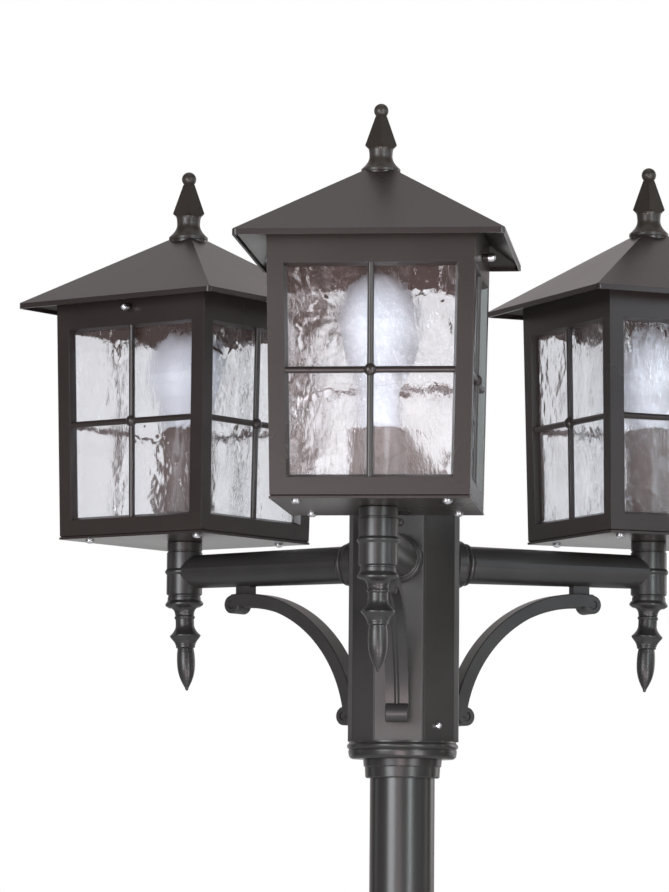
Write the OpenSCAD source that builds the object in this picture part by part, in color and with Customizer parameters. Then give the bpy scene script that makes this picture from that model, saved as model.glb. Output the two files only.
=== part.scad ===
// Garden lamp post with three square lanterns on scrolled arms.
// The ground is z = 0, the pole stands on the Z axis, and the front arm points along -Y.

/* [Post] */
// Height of the head's underside above the ground
head_z = 1744; // [1500:1:2200]
// Outside diameter of the pole
pole_d = 60; // [54:1:64]
// Wall of the pole
pole_wall = 2.5; // [1.5:0.5:5]
// Length of pole held inside the head column
pole_grip = 64; // [45:1:80]
// Radial clearance of the pole in its sockets
pole_fit = 0.3; // [0.1:0.1:0.6]

/* [Foot] */
// Diameter of the foot's base plate
foot_d = 250; // [230:5:320]
// Thickness of the base plate at its rim
foot_plate = 12; // [8:1:20]
// Height of the whole foot casting
foot_h = 100; // [85:1:140]
// Diameter of the collar that holds the pole
foot_collar_d = 84; // [78:1:96]
// Thickness of the foot under the pole's end
foot_seat = 10; // [6:1:16]
// Diameter of the cable entry through the foot
cable_d = 40; // [25:1:48]
// Circle that the anchor bolts stand on
bolt_circle = 200; // [190:5:205]
// Number of anchor bolts
bolt_count = 4; // [3:1:8]
// Diameter of each anchor bolt's hole
bolt_hole_d = 12; // [8:1:16]

/* [Sleeve and ring] */
// Diameter of the sleeve at its top
sleeve_top_d = 73; // [70:0.5:80]
// Diameter of the sleeve at its lower edge
sleeve_low_d = 68.8; // [66:0.2:70]
// Height of the sleeve
sleeve_h = 17.4; // [12:0.2:40]
// Diameter of the ring under the head
ring_d = 103; // [98:0.2:112]
// Height of the ring
ring_h = 16.2; // [12:0.2:24]

/* [Head column] */
// Width of the hexagonal column across its flats
hex_flats = 82; // [78:0.5:90]
// Height of the column
column_h = 226; // [218:1:260]
// Diameter of the wiring chamber in the column
chamber_d = 54; // [40:1:56]
// Width of the plate under each arm
plate_w = 44.8; // [40:0.2:46]
// Thickness of the plate under each arm
plate_t = 6.2; // [4:0.2:10]
// Height of the column's pointed cap
cap_h = 64; // [30:1:90]
// Overhang of the cap past the plates
cap_lip = 1.5; // [0.5:0.5:4]
// Height of the grub screws above the head's underside
grub_z = 14; // [8:1:30]
// Sideways distance of the grub screws from the middle of their faces
grub_shift = 4; // [0:0.5:9]
// Height of the plate screws above the head's underside
plate_screw_z = 200; // [194:1:210]

/* [Arms] */
// Distance from the pole's axis to each lantern's axis
reach = 258; // [240:1:320]
// Height of the arms above the head's underside
arm_z = 166.4; // [162:0.2:170]
// Diameter of the arm's flange
flange_d = 44.6; // [42:0.2:44.6]
// Thickness of the arm's flange
flange_t = 12.8; // [8:0.2:16]
// Diameter of the collar in front of the flange
collar_d = 36.8; // [36:0.2:42]
// Length of the collar in front of the flange
collar_t = 5.6; // [3:0.2:10]
// Diameter of the arm at its collar
arm_root_d = 35.2; // [32:0.2:36]
// Diameter of the arm at the hub
arm_tip_d = 31.8; // [28:0.2:34]
// Width of the raised band along the arm's sides
band_h = 4.6; // [3:0.2:8]
// Height that the band stands proud
band_proud = 0.6; // [0.2:0.1:1.5]
// Diameter of the wiring passage
wire_d = 14; // [8:0.5:18]
// Diameter of the hub at the arm's end
hub_d = 34.4; // [32:0.2:40]
// Height of the hub's top above the arm's axis
hub_rise = 29.1; // [27:0.1:40]
// Height of the ring at the top of the hub
hub_ring_h = 9; // [6:0.5:10]
// Height of the hub's lower end below the arm's axis
hub_fall = 27.4; // [26:0.2:40]

/* [Brackets] */
// Outer radius of the curved bracket
bracket_r = 134; // [120:1:138]
// Thickness of the curved bracket
bracket_t = 12; // [8:0.5:14]
// Width of the curved bracket
bracket_w = 21; // [16:0.5:28]
// Height of the bracket's top above the head's underside
bracket_top = 143; // [138:0.5:145]
// Diameter of the rolled eyes at the bracket's ends
eye_d = 17.4; // [15:0.2:20]
// Length of the spacer block along the arm
spacer_l = 16.8; // [10:0.2:24]
// Width of the spacer block
spacer_w = 9.6; // [6:0.2:16]
// Distance of the spacer block beyond the crown of the curve
spacer_shift = 2; // [0:0.5:3]

/* [Drop finials] */
// Height of the turned drop under each hub
drop_h = 87; // [75:1:100]
// Diameter of the drop's upper flare
flare_d = 36.6; // [35:0.2:42]
// Diameter of the drop's sharp disc
disc_d = 29.6; // [26:0.2:36]
// Diameter of the drop's neck
neck_d = 17.8; // [15:0.2:20]
// Inward lean of each drop, in degrees
drop_lean = 3; // [0:0.5:4]
// Diameter of the drop's spear
spear_d = 17.4; // [14:0.2:20]

/* [Lantern frames] */
// Width of a lantern at its lower edge
lantern_w = 171.2; // [165:0.2:190]
// Outward lean of each lantern face, in degrees
lean = 1.1; // [0:0.1:2]
// Thickness of the lantern's floor plate
floor_t = 2.2; // [1.5:0.1:4]
// Wall of the cast lantern frame
frame_wall = 7; // [5:0.5:9]
// Width of each corner post beside a window
post_w = 14.4; // [12:0.2:20]
// Height of the rail below each window
rail_h = 16; // [14:0.5:24]
// Height of each window
window_h = 184; // [150:1:190]
// Width of the bevel round each window
bevel = 2.6; // [1:0.1:4]
// Diameter of the glazing bars
bar_d = 5.8; // [4:0.1:7]
// Diameter of the boss where the glazing bars cross
boss_d = 8.4; // [7:0.1:11]
// Height of the inner sill that the panes stand on
sill_h = 6; // [4:0.5:10]
// Distance of the floor screws from the lantern's mid lines
floor_screw_at = 65; // [62:0.5:68]

/* [Glass] */
// Thickness of the panes
glass_t = 3; // [2:0.5:4]
// Clearance round the panes
glass_gap = 0.3; // [0.2:0.1:0.6]
// Overlap of each pane past its window
glass_lap = 3; // [2:0.2:4]

/* [Roofs] */
// Width of the roof over its eaves
roof_w = 233; // [215:1:260]
// Height of the eaves above the floor plate's underside
eave_rise = 227.5; // [222:0.5:250]
// Rise of the roof from eaves to seat
roof_rise = 66.5; // [50:0.5:90]
// Width of the flat seat at the roof's top
seat_w = 28; // [20:0.5:30]
// Height of the turned-down lip
lip_h = 4.8; // [3:0.2:12]
// Thickness of the roof's sheet
sheet_t = 1.8; // [1.2:0.1:3]
// Radius of the roof's corners
corner_r = 4; // [2:0.5:8]
// Height of the roof screws below the eaves
roof_screw_drop = 9; // [6:0.5:12]
// Width of the tab inside the frame that takes each roof screw
tab_w = 24; // [16:1:30]
// Clearance between the tab and the frame
tab_gap = 0.3; // [0.1:0.1:0.6]

/* [Roof finials] */
// Height of the finial from its base to the ball's centre
finial_h = 60.4; // [55:0.2:70]
// Size of the front lantern's finial against the other two
front_finial = 0.91; // [0.9:0.01:1.05]
// Turn of the spires about their axes, in degrees
spire_turn = 50; // [0:1:90]
// Diameter of the finial's base disc
base_d = 37.8; // [36:0.2:42]
// Diameter of the finial's waist
waist_d = 22.2; // [18:0.2:23]
// Width of the spire across its flats at the lower edge
spire_w = 22; // [20:0.2:24]
// Diameter of the finial's ball
ball_d = 14; // [12:0.2:18]

/* [Lamps] */
// Diameter of the holder's cover
cover_d = 50.6; // [48:0.2:56]
// Height of the cover in the two rear lanterns
cover_h = 104.5; // [100:0.5:106]
// Height of the cover in the front lantern
front_cover_h = 65; // [50:0.5:104]
// Diameter of the lamp socket
socket_d = 40; // [36:0.2:44]
// Height of the socket
socket_h = 46; // [40:0.5:60]
// Diameter of the lamp
lamp_d = 73; // [60:0.5:84]
// Height of the lamp's seam above the floor plate's underside
seam_rise = 161; // [155:0.5:165]
// Height of the lamp's dome above the seam
dome_h = 46; // [36:0.5:50]
// Length of the lamp's housing below the seam
housing_h = 57; // [50:0.5:60]
// Diameter of the lamp's screw cap
lamp_cap_d = 26; // [25:0.5:27]

/* [Screws] */
// Head diameter of the floor screws
floor_head_d = 8.8; // [7:0.2:10]
// Shank diameter of the floor screws
floor_shank_d = 4; // [3:0.5:5]
// Head diameter of the roof screws
roof_head_d = 7.4; // [6:0.2:10]
// Shank diameter of the roof screws
roof_shank_d = 5; // [4:0.5:5]
// Head diameter of the plate and grub screws
column_head_d = 7; // [6:0.2:9]
// Shank diameter of the plate and grub screws
column_shank_d = 5; // [4:0.5:5.5]
// Radial clearance of the screws in their holes
screw_fit = 0.1; // [0.05:0.05:0.3]

/* [Hidden] */
$fn = 64;
SIDES = ["front", "right", "left"];
PANES = ["outer", "right", "inner", "left"];
// The grub screws sit opposite the front and the left arm
GRUB_FACES = [0, 2];
ARM_PARTS = ["arm_plate", "arm", "spacer", "bracket", "drop_finial", "floor_plate", "lantern_frame",
    "roof", "roof_finial", "lamp_cover", "lamp_socket", "lamp"];

// A cut runs this far past the faces it opens
over = 1;
// Two solids that seat on each other stay this far apart where their faces aren't flat
seat_gap = 0.3;

// Head
plate_face = hex_flats / 2 + plate_t;
column_top = head_z + column_h;
arm_axis_z = head_z + arm_z;
hub_top_z = arm_axis_z + hub_rise;
hub_low_z = arm_axis_z - hub_fall;
arm_start = plate_face + flange_t + collar_t;
hex_corner = hex_flats / 2 / cos(30);

// Bracket
bracket_x = plate_face + seat_gap + bracket_r;
bracket_z = head_z + bracket_top - bracket_r;
eye_orbit = bracket_r - bracket_t;
low_eye_angle = 172.7;
top_eye_angle = 84.7;

// Lantern
floor_top = hub_top_z + floor_t;
lantern_half = lantern_w / 2;
window_low = rail_h / cos(lean);
window_top = window_low + window_h;
window_mid = (window_low + window_top) / 2;
eave_z = hub_top_z + eave_rise;
roof_half = roof_w / 2;
seat_half = seat_w / 2;
roof_pitch = roof_rise / (roof_half - seat_half);
sheet_drop = sheet_t * sqrt(1 + roof_pitch * roof_pitch);
seat_z = eave_z + roof_rise;
frame_top = (eave_z - sheet_drop - seat_gap + (roof_half - lantern_half + floor_top * tan(lean)) * roof_pitch)
    / (1 + tan(lean) * roof_pitch);
roof_screw_z = eave_z - roof_screw_drop;
tab_out = body_half(roof_screw_z - 6) - frame_wall - tab_gap;
tab_in = tab_out - sheet_t;
glass_low = floor_top + sill_h;
glass_top = floor_top + (window_top + glass_lap) * cos(lean);
glass_half = body_half(glass_top) - post_w + glass_lap - bevel + 1;

// Lamp
seam_z = hub_top_z + seam_rise;
lamp_neck_z = seam_z - housing_h;
socket_top = lamp_neck_z - seat_gap;
socket_low = socket_top - socket_h;
lamp_cap_h = 27;
nipple_d = 10;
nipple_grip = 6;
nipple_seat = 13;

function body_half(z) = lantern_half + (z - floor_top) * tan(lean);
function roof_under(x) = eave_z - sheet_drop + (roof_half - x) * roof_pitch;
function arc_points(cx, cy, r, from, to, steps) =
    [for (i = [0:steps]) [cx + r * cos(from + (to - from) * i / steps),
        cy + r * sin(from + (to - from) * i / steps)]];

module at_arm(k) {
    rotate(-90 + 120 * k) children();
}

module at_lantern(k) {
    at_arm(k) translate([reach, 0, 0]) children();
}

// The bottom edge of side i of a lantern: x runs along the face, y inward and z up the face
module at_face(i) {
    rotate(90 + 90 * i) translate([0, -lantern_half, floor_top]) rotate([lean, 0, 0]) children();
}

// Prism along Y whose section narrows or widens from z0 to z1
module slope_prism(z0, half0, z1, half1) {
    reach_y = 2 * max(half0, half1) + 2;
    rotate([90, 0, 0])
        linear_extrude(height = reach_y, center = true)
            polygon([[-half0, z0], [half0, z0], [half1, z1], [-half1, z1]]);
}

// Square frustum from half width half0 at z0 to half1 at z1
module frustum(z0, half0, z1, half1) {
    intersection() {
        slope_prism(z0, half0, z1, half1);
        rotate(90) slope_prism(z0, half0, z1, half1);
    }
}

module hexagon_prism(flats, h) {
    cylinder(d = flats / cos(30), h = h, $fn = 6);
}

// Domed screw head on the XY plane with its shank along -Z
module domed_screw(head_d, head_h, shank_d, shank_l) {
    rim = head_h * 0.35;
    dome_h = head_h - rim;
    dome_r = (head_d * head_d / 4 + dome_h * dome_h) / (2 * dome_h);
    translate([0, 0, -shank_l]) cylinder(d = shank_d, h = shank_l + rim);
    cylinder(d = head_d, h = rim);
    translate([0, 0, rim])
        intersection() {
            translate([0, 0, dome_h - dome_r]) sphere(r = dome_r);
            cylinder(d = head_d, h = head_h);
        }
}

module foot() {
    collar_r = foot_collar_d / 2;
    fillet = 26;
    color([0.25, 0.23, 0.22])
        difference() {
            rotate_extrude()
                polygon(concat(
                    [[0, 0], [foot_d / 2, 0], [foot_d / 2, foot_plate - 3], [foot_d / 2 - 3, foot_plate]],
                    [[collar_r + fillet + 6, foot_plate + 2]],
                    arc_points(collar_r + fillet + 4, foot_plate + 8 + fillet, fillet, -90, -180, 10),
                    [[collar_r + 4, foot_h - 22], [collar_r, foot_h - 20], [collar_r, foot_h - 8]],
                    arc_points(collar_r - 1, foot_h - 5, 3, -60, 90, 8),
                    [[pole_d / 2, foot_h - 2], [0, foot_h - 2]]
                ));
            translate([0, 0, foot_seat]) cylinder(r = pole_d / 2 + pole_fit, h = foot_h);
            translate([0, 0, -over]) cylinder(d = cable_d, h = foot_seat + 2 * over);
            for (i = [0:bolt_count - 1])
                rotate(360 / bolt_count * (i + 0.5)) translate([bolt_circle / 2, 0, -over])
                    cylinder(d = bolt_hole_d, h = foot_plate + 4 * over);
        }
}

module pole() {
    pole_l = head_z + pole_grip - foot_seat;
    color([0.27, 0.25, 0.24])
        translate([0, 0, foot_seat])
            difference() {
                cylinder(d = pole_d, h = pole_l);
                translate([0, 0, -over]) cylinder(d = pole_d - 2 * pole_wall, h = pole_l + 2 * over);
            }
}

module pole_sleeve() {
    top = head_z - ring_h;
    step_r = (sleeve_top_d + sleeve_low_d) / 4;
    bore_r = pole_d / 2 + pole_fit;
    color([0.27, 0.25, 0.24])
        rotate_extrude()
            polygon([
                [bore_r, top],
                [bore_r, top - sleeve_h],
                [sleeve_low_d / 2 - 1, top - sleeve_h],
                [sleeve_low_d / 2, top - sleeve_h + 1],
                [step_r - 0.6, top - 0.42 * sleeve_h],
                [step_r + 0.4, top - 0.38 * sleeve_h],
                [sleeve_top_d / 2, top]
            ]);
}

module head_ring() {
    bore_r = pole_d / 2 + pole_fit;
    ring_r = ring_d / 2;
    roll = ring_h * 0.18;
    heel = ring_h * 0.25;
    color([0.27, 0.25, 0.24])
        translate([0, 0, head_z])
            rotate_extrude()
                polygon(concat(
                    [[bore_r, 0], [bore_r, -ring_h]],
                    arc_points(ring_r - 1.6 - heel, -ring_h + heel, heel, -90, -8, 8),
                    [[ring_r - 1.3, -ring_h * 0.62], [ring_r - 1.2, -ring_h * 0.53],
                        [ring_r - 1.9, -ring_h * 0.47]],
                    arc_points(ring_r - roll, -ring_h * 0.28, roll, -60, 60, 10),
                    [[ring_r - 1.9, -ring_h * 0.08], [ring_r - 1.9, 0]]
                ));
}

module head_column() {
    color([0.26, 0.24, 0.23])
        difference() {
            translate([0, 0, head_z]) hexagon_prism(hex_flats, column_h);
            translate([0, 0, head_z - over]) cylinder(r = pole_d / 2 + pole_fit, h = pole_grip + over);
            translate([0, 0, head_z]) cylinder(d = chamber_d, h = column_h + over);
            for (k = [0:2])
                at_arm(k) {
                    translate([0, 0, arm_axis_z]) rotate([0, 90, 0]) cylinder(d = wire_d, h = hex_flats);
                    translate([0, 0, head_z + plate_screw_z]) rotate([0, 90, 0])
                        cylinder(d = column_shank_d + 2 * screw_fit, h = hex_flats);
                }
            for (k = GRUB_FACES)
                at_arm(k) translate([0, grub_shift, head_z + grub_z]) rotate([0, -90, 0])
                    cylinder(d = column_shank_d + 2 * screw_fit, h = hex_flats);
        }
}

module head_cap() {
    cap_flats = 2 * (plate_face + cap_lip);
    brim = 4;
    color([0.28, 0.26, 0.25])
        translate([0, 0, column_top]) {
            hexagon_prism(cap_flats, brim);
            translate([0, 0, brim - over])
                cylinder(d1 = (cap_flats - over) / cos(30), d2 = 8, h = cap_h - brim + over, $fn = 6);
            translate([0, 0, -10]) cylinder(d = chamber_d - 1, h = 10 + over);
        }
}

module arm_plate(k) {
    edge = 1;
    color([0.33, 0.3, 0.29])
        difference() {
            at_arm(k)
                translate([hex_flats / 2, 0, head_z])
                    linear_extrude(height = column_h)
                        polygon([
                            [0, -plate_w / 2],
                            [plate_t - edge, -plate_w / 2],
                            [plate_t, -plate_w / 2 + edge],
                            [plate_t, plate_w / 2 - edge],
                            [plate_t - edge, plate_w / 2],
                            [0, plate_w / 2]
                        ]);
            at_arm(k) translate([0, 0, arm_axis_z]) rotate([0, 90, 0])
                cylinder(d = wire_d, h = 2 * hex_flats);
            at_arm(k) translate([0, 0, head_z + plate_screw_z]) rotate([0, 90, 0])
                cylinder(d = column_shank_d + 2 * screw_fit, h = 2 * hex_flats);
        }
}

// Flange and collar as one turned profile, with the tapered arm behind them
module arm_outline() {
    root_r = arm_root_d / 2;
    dome = flange_t * 0.36;
    rotate([0, 90, 0])
        rotate_extrude()
            polygon(concat(
                [[0, plate_face], [flange_d / 2 - 1, plate_face], [flange_d / 2, plate_face + 1]],
                [[flange_d / 2, plate_face + flange_t - 2 * dome]],
                arc_points(flange_d / 2 - dome, plate_face + flange_t - dome, dome, 0, 90, 8),
                [[collar_d / 2 - 1, plate_face + flange_t]],
                arc_points(collar_d / 2 - 1, plate_face + flange_t + collar_t / 2, collar_t / 2 - 0.4,
                    -70, 70, 8),
                [[root_r - 0.6, arm_start - 0.3], [root_r, arm_start + 0.5],
                    [arm_tip_d / 2, reach], [0, reach]]
            ));
}

// Flat band along both sides of the arm at the level of its axis
module arm_band() {
    root = arm_root_d / 2 + band_proud;
    tip = arm_tip_d / 2 + band_proud;
    translate([0, 0, -band_h / 2])
        linear_extrude(height = band_h)
            polygon([[arm_start + 1, -root], [arm_start + 1, root], [reach, tip], [reach, -tip]]);
}

module hub_outline() {
    r = hub_d / 2;
    ridge = 1.6;
    rotate_extrude()
        polygon([
            [0, -hub_fall],
            [r - 1.2, -hub_fall],
            [r - 1.2, -hub_fall + 3],
            [r - 1.8, -hub_fall + 3.6],
            [r - 1.8, -hub_fall + 4.6],
            [r, -hub_fall + 6],
            [r, -band_h / 2 - 0.6],
            [r + 0.4, -band_h / 2],
            [r + ridge, -0.6],
            [r + ridge, 0.6],
            [r + 0.4, band_h / 2],
            [r, band_h / 2 + 0.6],
            [r, hub_rise - hub_ring_h - 1.6],
            [r - 1, hub_rise - hub_ring_h - 0.8],
            [r - 1, hub_rise - hub_ring_h],
            [r - 0.3, hub_rise - hub_ring_h + 0.6],
            [r - 0.3, hub_rise - 1],
            [r - 1, hub_rise],
            [0, hub_rise]
        ]);
}

module arm(k) {
    color([0.27, 0.25, 0.24])
        at_arm(k) translate([0, 0, arm_axis_z])
            difference() {
                union() {
                    arm_outline();
                    arm_band();
                    translate([reach, 0, 0]) hub_outline();
                }
                rotate([0, 90, 0]) cylinder(d = wire_d, h = reach);
                translate([reach, 0, -wire_d / 2])
                    cylinder(d = wire_d, h = wire_d / 2 + hub_rise - nipple_seat);
                translate([reach, 0, 0]) cylinder(d = nipple_d + 2 * screw_fit, h = hub_rise + over);
                translate([reach, 0, -hub_fall - over])
                    cylinder(d = drop_stem_d() + 2 * screw_fit, h = drop_stem_l + over + screw_fit);
            }
}

module spacer(k) {
    color([0.26, 0.24, 0.23])
        at_arm(k)
            difference() {
                translate([bracket_x + spacer_shift - spacer_l / 2, -spacer_w / 2,
                    head_z + bracket_top - bracket_t / 2])
                    cube([spacer_l, spacer_w, arm_z - bracket_top + bracket_t / 2]);
                translate([0, 0, arm_axis_z]) rotate([0, 90, 0])
                    rotate_extrude()
                        polygon([
                            [0, arm_start],
                            [arm_root_d / 2 + screw_fit, arm_start],
                            [arm_tip_d / 2 + screw_fit, reach],
                            [0, reach]
                        ]);
                translate([bracket_x, 0, bracket_z]) rotate([90, 0, 0])
                    cylinder(r = bracket_r, h = 2 * spacer_w, center = true, $fn = 128);
            }
}

// Rolled eye with a ring-shaped recess round its core on both ends
module bracket_eye(a, orbit) {
    recess = 1.4;
    translate([bracket_x + orbit * cos(a), 0, bracket_z + orbit * sin(a)])
        rotate([90, 0, 0])
            rotate_extrude()
                polygon([
                    [0, -bracket_w / 2 + recess / 2],
                    [1.8, -bracket_w / 2 + recess / 2],
                    [2.2, -bracket_w / 2 + recess],
                    [3.8, -bracket_w / 2 + recess],
                    [4.4, -bracket_w / 2],
                    [eye_d / 2 - 0.8, -bracket_w / 2],
                    [eye_d / 2, -bracket_w / 2 + 0.8],
                    [eye_d / 2, bracket_w / 2 - 0.8],
                    [eye_d / 2 - 0.8, bracket_w / 2],
                    [4.4, bracket_w / 2],
                    [3.8, bracket_w / 2 - recess],
                    [2.2, bracket_w / 2 - recess],
                    [1.8, bracket_w / 2 - recess / 2],
                    [0, bracket_w / 2 - recess / 2]
                ]);
}

// Curved bar with a raised ridge along the middle of its hollow side
module bracket_bar() {
    ridge_w = 5;
    ridge_h = 1.6;
    edge = 0.8;
    half = bracket_w / 2;
    translate([bracket_x, 0, bracket_z])
        rotate([90, 0, 0])
            rotate([0, 0, top_eye_angle])
                rotate_extrude(angle = low_eye_angle - top_eye_angle, $fn = 160)
                    polygon([
                        [eye_orbit, -half],
                        [bracket_r - edge, -half],
                        [bracket_r, -half + edge],
                        [bracket_r, half - edge],
                        [bracket_r - edge, half],
                        [eye_orbit, half],
                        [eye_orbit, ridge_w / 2],
                        [eye_orbit - ridge_h, 0.6],
                        [eye_orbit - ridge_h, -0.6],
                        [eye_orbit, -ridge_w / 2]
                    ]);
}

module bracket(k) {
    color([0.26, 0.24, 0.23])
        at_arm(k) {
            bracket_bar();
            bracket_eye(low_eye_angle, eye_orbit);
            bracket_eye(top_eye_angle, eye_orbit + bracket_t / 5);
        }
}

function drop_stem_d() = neck_d * 0.55;
drop_stem_l = 10;

module drop_finial(k) {
    h = drop_h;
    neck_r = neck_d / 2;
    flare_r = flare_d / 2;
    disc_r = disc_d / 2;
    spear_r = spear_d / 2;
    spear_l = 0.455 * h;
    color([0.27, 0.25, 0.24])
        at_lantern(k) translate([0, 0, hub_low_z]) {
            cylinder(d = drop_stem_d(), h = drop_stem_l);
            intersection() {
                translate([-h, -h, -1.2 * h]) cube([2 * h, 2 * h, 1.2 * h]);
                rotate([0, drop_lean, 0]) rotate_extrude() polygon(concat(
                    [[0, 2], [hub_d / 2 - 1.8, 2], [hub_d / 2 - 0.9, -0.002 * h]],
                    [[flare_r - 0.4, -0.028 * h], [flare_r, -0.036 * h], [flare_r, -0.05 * h]],
                    [[flare_r - 0.6, -0.058 * h], [flare_r - 2.8, -0.074 * h]],
                    arc_points(neck_r + 7.2, -0.148 * h, 6.8, 100, 180, 8),
                    arc_points(neck_r - 1, -0.188 * h, 2, 60, -60, 6),
                    [for (t = [0:0.125:1]) [neck_r + (disc_r - neck_r) * t * t, -0.27 * h - 0.118 * h * t]],
                    [[disc_r, -0.397 * h], [disc_r - 0.5, -0.408 * h]],
                    [[neck_r + 2.4, -0.45 * h], [neck_r + 0.9, -0.48 * h], [neck_r + 0.9, -0.492 * h]],
                    [[neck_r + 0.3, -0.497 * h], [neck_r + 0.3, -0.52 * h], [spear_r - 1, -0.532 * h]],
                    [[spear_r - 0.8, -h + spear_l]],
                    [for (i = [1:11]) [spear_r * spear_width(i / 12), -h + spear_l * (1 - i / 12)]],
                    [[1.3, -h + 0.9], [0.7, -h + 0.2], [0, -h]]
                ));
            }
        }
}

// Half width of the spear, from its shoulder at 0 to its point at 1
function spear_width(t) = t >= 1 ? 0 :
    cos(90 * pow(max(0, (t - 0.22) / 0.78), 1.45)) * (1 - 0.06 * max(0, 0.22 - t) / 0.22);

module floor_plate(k) {
    half = lantern_half + 0.4;
    color([0.4, 0.39, 0.38])
        at_lantern(k)
            difference() {
                translate([-half, -half, hub_top_z]) cube([2 * half, 2 * half, floor_t]);
                translate([0, 0, hub_top_z - over])
                    cylinder(d = nipple_d + 2 * screw_fit, h = floor_t + 2 * over);
                for (x = [-1, 1]) for (y = [-1, 1])
                    translate([x * floor_screw_at, y * floor_screw_at, hub_top_z - over])
                        cylinder(d = floor_shank_d + 2 * screw_fit, h = floor_t + 2 * over);
            }
}

// Outline of a window, grown by g on every side, in the plane of its face
module window_outline(g) {
    low_half = lantern_half - post_w + window_low * sin(lean) + g;
    top_half = lantern_half - post_w + window_top * sin(lean) + g;
    polygon([[-low_half, window_low - g], [low_half, window_low - g],
        [top_half, window_top + g], [-top_half, window_top + g]]);
}

// Opening of one window, wider at the outer face
module window_cut() {
    slope = bevel / frame_wall;
    hull() {
        translate([0, -over, 0]) rotate([90, 0, 0]) linear_extrude(height = 0.01)
            window_outline(slope * over);
        translate([0, frame_wall + over, 0]) rotate([90, 0, 0])
            linear_extrude(height = 0.01) window_outline(-bevel - slope * over);
    }
}

module glazing_bars() {
    bite = 1.5;
    mid_half = lantern_half - post_w + window_mid * sin(lean) - bevel / 2;
    translate([0, frame_wall / 2, window_low + bevel / 2 - bite])
        cylinder(d = bar_d, h = window_h - bevel + 2 * bite);
    translate([-mid_half - bite, frame_wall / 2, window_mid]) rotate([0, 90, 0])
        cylinder(d = bar_d, h = 2 * (mid_half + bite));
    translate([0, frame_wall / 2, window_mid]) sphere(d = boss_d);
}

module lantern_frame(k) {
    foot_edge = 1.2;
    inner = lantern_half - frame_wall;
    sill_w = 5;
    lug = 20;
    color([0.31, 0.28, 0.27])
        at_lantern(k) {
            difference() {
                union() {
                    frustum(floor_top, lantern_half - foot_edge,
                        floor_top + foot_edge, body_half(floor_top + foot_edge));
                    frustum(floor_top + foot_edge, body_half(floor_top + foot_edge),
                        frame_top, body_half(frame_top));
                }
                frustum(floor_top + sill_h, inner + sill_h * tan(lean),
                    frame_top + over, body_half(frame_top + over) - frame_wall);
                difference() {
                    frustum(floor_top - over, inner - sill_w, floor_top + sill_h + over, inner - sill_w);
                    for (x = [-1, 1]) for (y = [-1, 1])
                        translate([x * (inner - lug / 2), y * (inner - lug / 2), floor_top + sill_h / 2])
                            cube([lug, lug, sill_h], center = true);
                }
                for (i = [0:3])
                    at_face(i) window_cut();
                for (x = [-1, 1]) for (y = [-1, 1])
                    translate([x * floor_screw_at, y * floor_screw_at, floor_top - over])
                        cylinder(d = floor_shank_d + 2 * screw_fit, h = sill_h + 2 * over);
                translate([0, 0, roof_screw_z]) rotate([90, 0, 0])
                    cylinder(d = roof_shank_d + 2 * screw_fit, h = 2 * lantern_w, center = true);
            }
            for (i = [0:3])
                at_face(i) glazing_bars();
        }
}

// Pane behind window i: a slice of a square shell that leans with the frame
module pane(k, i) {
    inner_low = body_half(glass_low) - frame_wall - glass_gap;
    inner_top = body_half(glass_top) - frame_wall - glass_gap;
    color([0.86, 0.88, 0.9, 0.4])
        at_lantern(k) rotate(90 * i)
            intersection() {
                difference() {
                    frustum(glass_low, inner_low, glass_top, inner_top);
                    frustum(glass_low - over, inner_low - glass_t - over * tan(lean),
                        glass_top + over, inner_top - glass_t + over * tan(lean));
                }
                translate([0, -pane_half, glass_low]) cube([lantern_w, 2 * pane_half, glass_top - glass_low]);
            }
}

// The panes stop short of each other at the corners
pane_half = min(glass_half, body_half(glass_low) - frame_wall - 2 * glass_gap - glass_t);

// Plan of the roof: a square with rounded corners
module roof_plan(half, z0, z1) {
    inset = half - corner_r;
    translate([-half, -inset, z0]) cube([2 * half, 2 * inset, z1 - z0]);
    translate([-inset, -half, z0]) cube([2 * inset, 2 * half, z1 - z0]);
    for (x = [-1, 1]) for (y = [-1, 1])
        translate([x * inset, y * inset, z0]) cylinder(r = corner_r, h = z1 - z0);
}

module roof(k) {
    lip_z = eave_z - lip_h;
    inner_half = roof_half - sheet_t;
    inner_eave = roof_under(inner_half);
    pad_r = base_d / 2 * finial_size(k) - 0.3;
    pad_h = (pad_r - seat_half) * roof_pitch + sheet_t / 2;
    color([0.37, 0.35, 0.34])
        at_lantern(k)
            difference() {
                union() {
                    difference() {
                        union() {
                            intersection() {
                                union() {
                                    frustum(lip_z, roof_half, eave_z, roof_half);
                                    frustum(eave_z, roof_half, seat_z, seat_half);
                                }
                                roof_plan(roof_half, lip_z, seat_z);
                            }
                            translate([0, 0, seat_z - pad_h]) cylinder(r = pad_r, h = pad_h);
                        }
                        intersection() {
                            union() {
                                frustum(lip_z - over, inner_half, inner_eave, inner_half);
                                frustum(inner_eave, inner_half, seat_z - sheet_t,
                                    inner_half - (seat_z - sheet_t - inner_eave) / roof_pitch);
                            }
                            roof_plan(inner_half, lip_z - over, seat_z);
                        }
                    }
                    for (y = [-1, 1])
                        scale([1, y, 1])
                            translate([-tab_w / 2, tab_in, roof_screw_z - 6])
                                cube([tab_w, sheet_t, roof_under(tab_in) + 0.3 - roof_screw_z + 6]);
                }
                translate([0, 0, roof_screw_z]) rotate([90, 0, 0])
                    cylinder(d = roof_shank_d + 2 * screw_fit, h = 2 * (tab_out + over), center = true);
                translate([0, 0, seat_z - 2 * sheet_t])
                    cylinder(d = finial_stud_d + 2 * screw_fit, h = 4 * sheet_t);
            }
}

finial_stud_d = 8;

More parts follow.
